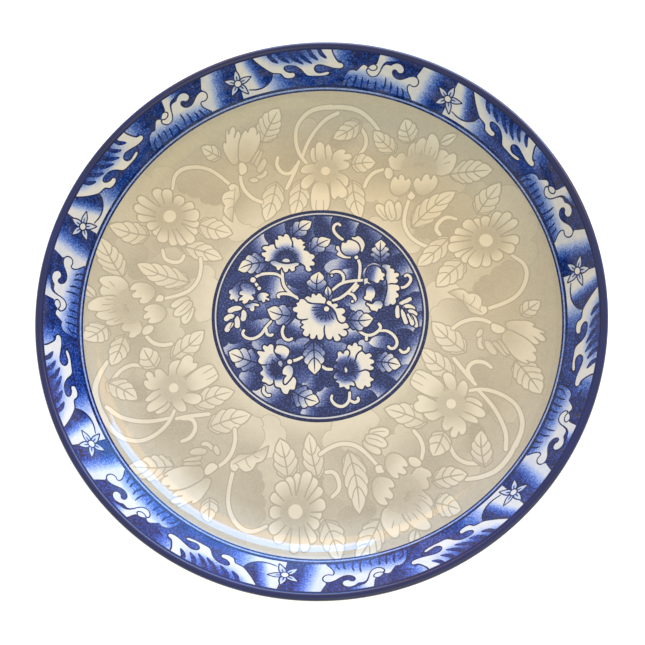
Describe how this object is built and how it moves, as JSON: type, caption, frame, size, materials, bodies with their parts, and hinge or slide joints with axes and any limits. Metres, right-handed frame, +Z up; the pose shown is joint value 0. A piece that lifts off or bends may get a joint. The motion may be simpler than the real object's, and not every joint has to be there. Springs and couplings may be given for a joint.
{
  "type": "china serving platter",
  "caption": "Round deep-walled china serving platter with blue printed decoration under a clear glaze, standing on a bare foot ring.",
  "frame": {"origin": "centre of the foot ring's contact plane, on the table", "axes": "+Z up along the plate's axis of rotation; +Y towards the far edge of the plate as first seen, +X to the right"},
  "size_m": [0.305, 0.305, 0.0468],
  "materials": {
    "porcelain": "fired porcelain, matt where it is bare on the foot",
    "clear_glaze": "glossy clear glaze over white porcelain",
    "navy_band": "navy band under gloss glaze",
    "border_print": "cobalt waves and small flowers under gloss glaze",
    "field_print": "pale grey and cream flowers under gloss glaze",
    "medallion_print": "cobalt flowers and leaves under gloss glaze"
  },
  "bodies": {
    "root": {"porcelain_body": "porcelain", "face_and_back_glaze": "clear_glaze", "foot_recess_glaze": "clear_glaze", "lip_band": "navy_band", "border_transfer_1": "border_print", "border_transfer_2": "border_print", "border_transfer_3": "border_print", "border_transfer_4": "border_print", "border_transfer_5": "border_print", "border_transfer_6": "border_print", "border_transfer_7": "border_print", "field_transfer_1": "field_print", "field_transfer_2": "field_print", "field_transfer_3": "field_print", "medallion_transfer": "medallion_print"}
  },
  "joints": []
}
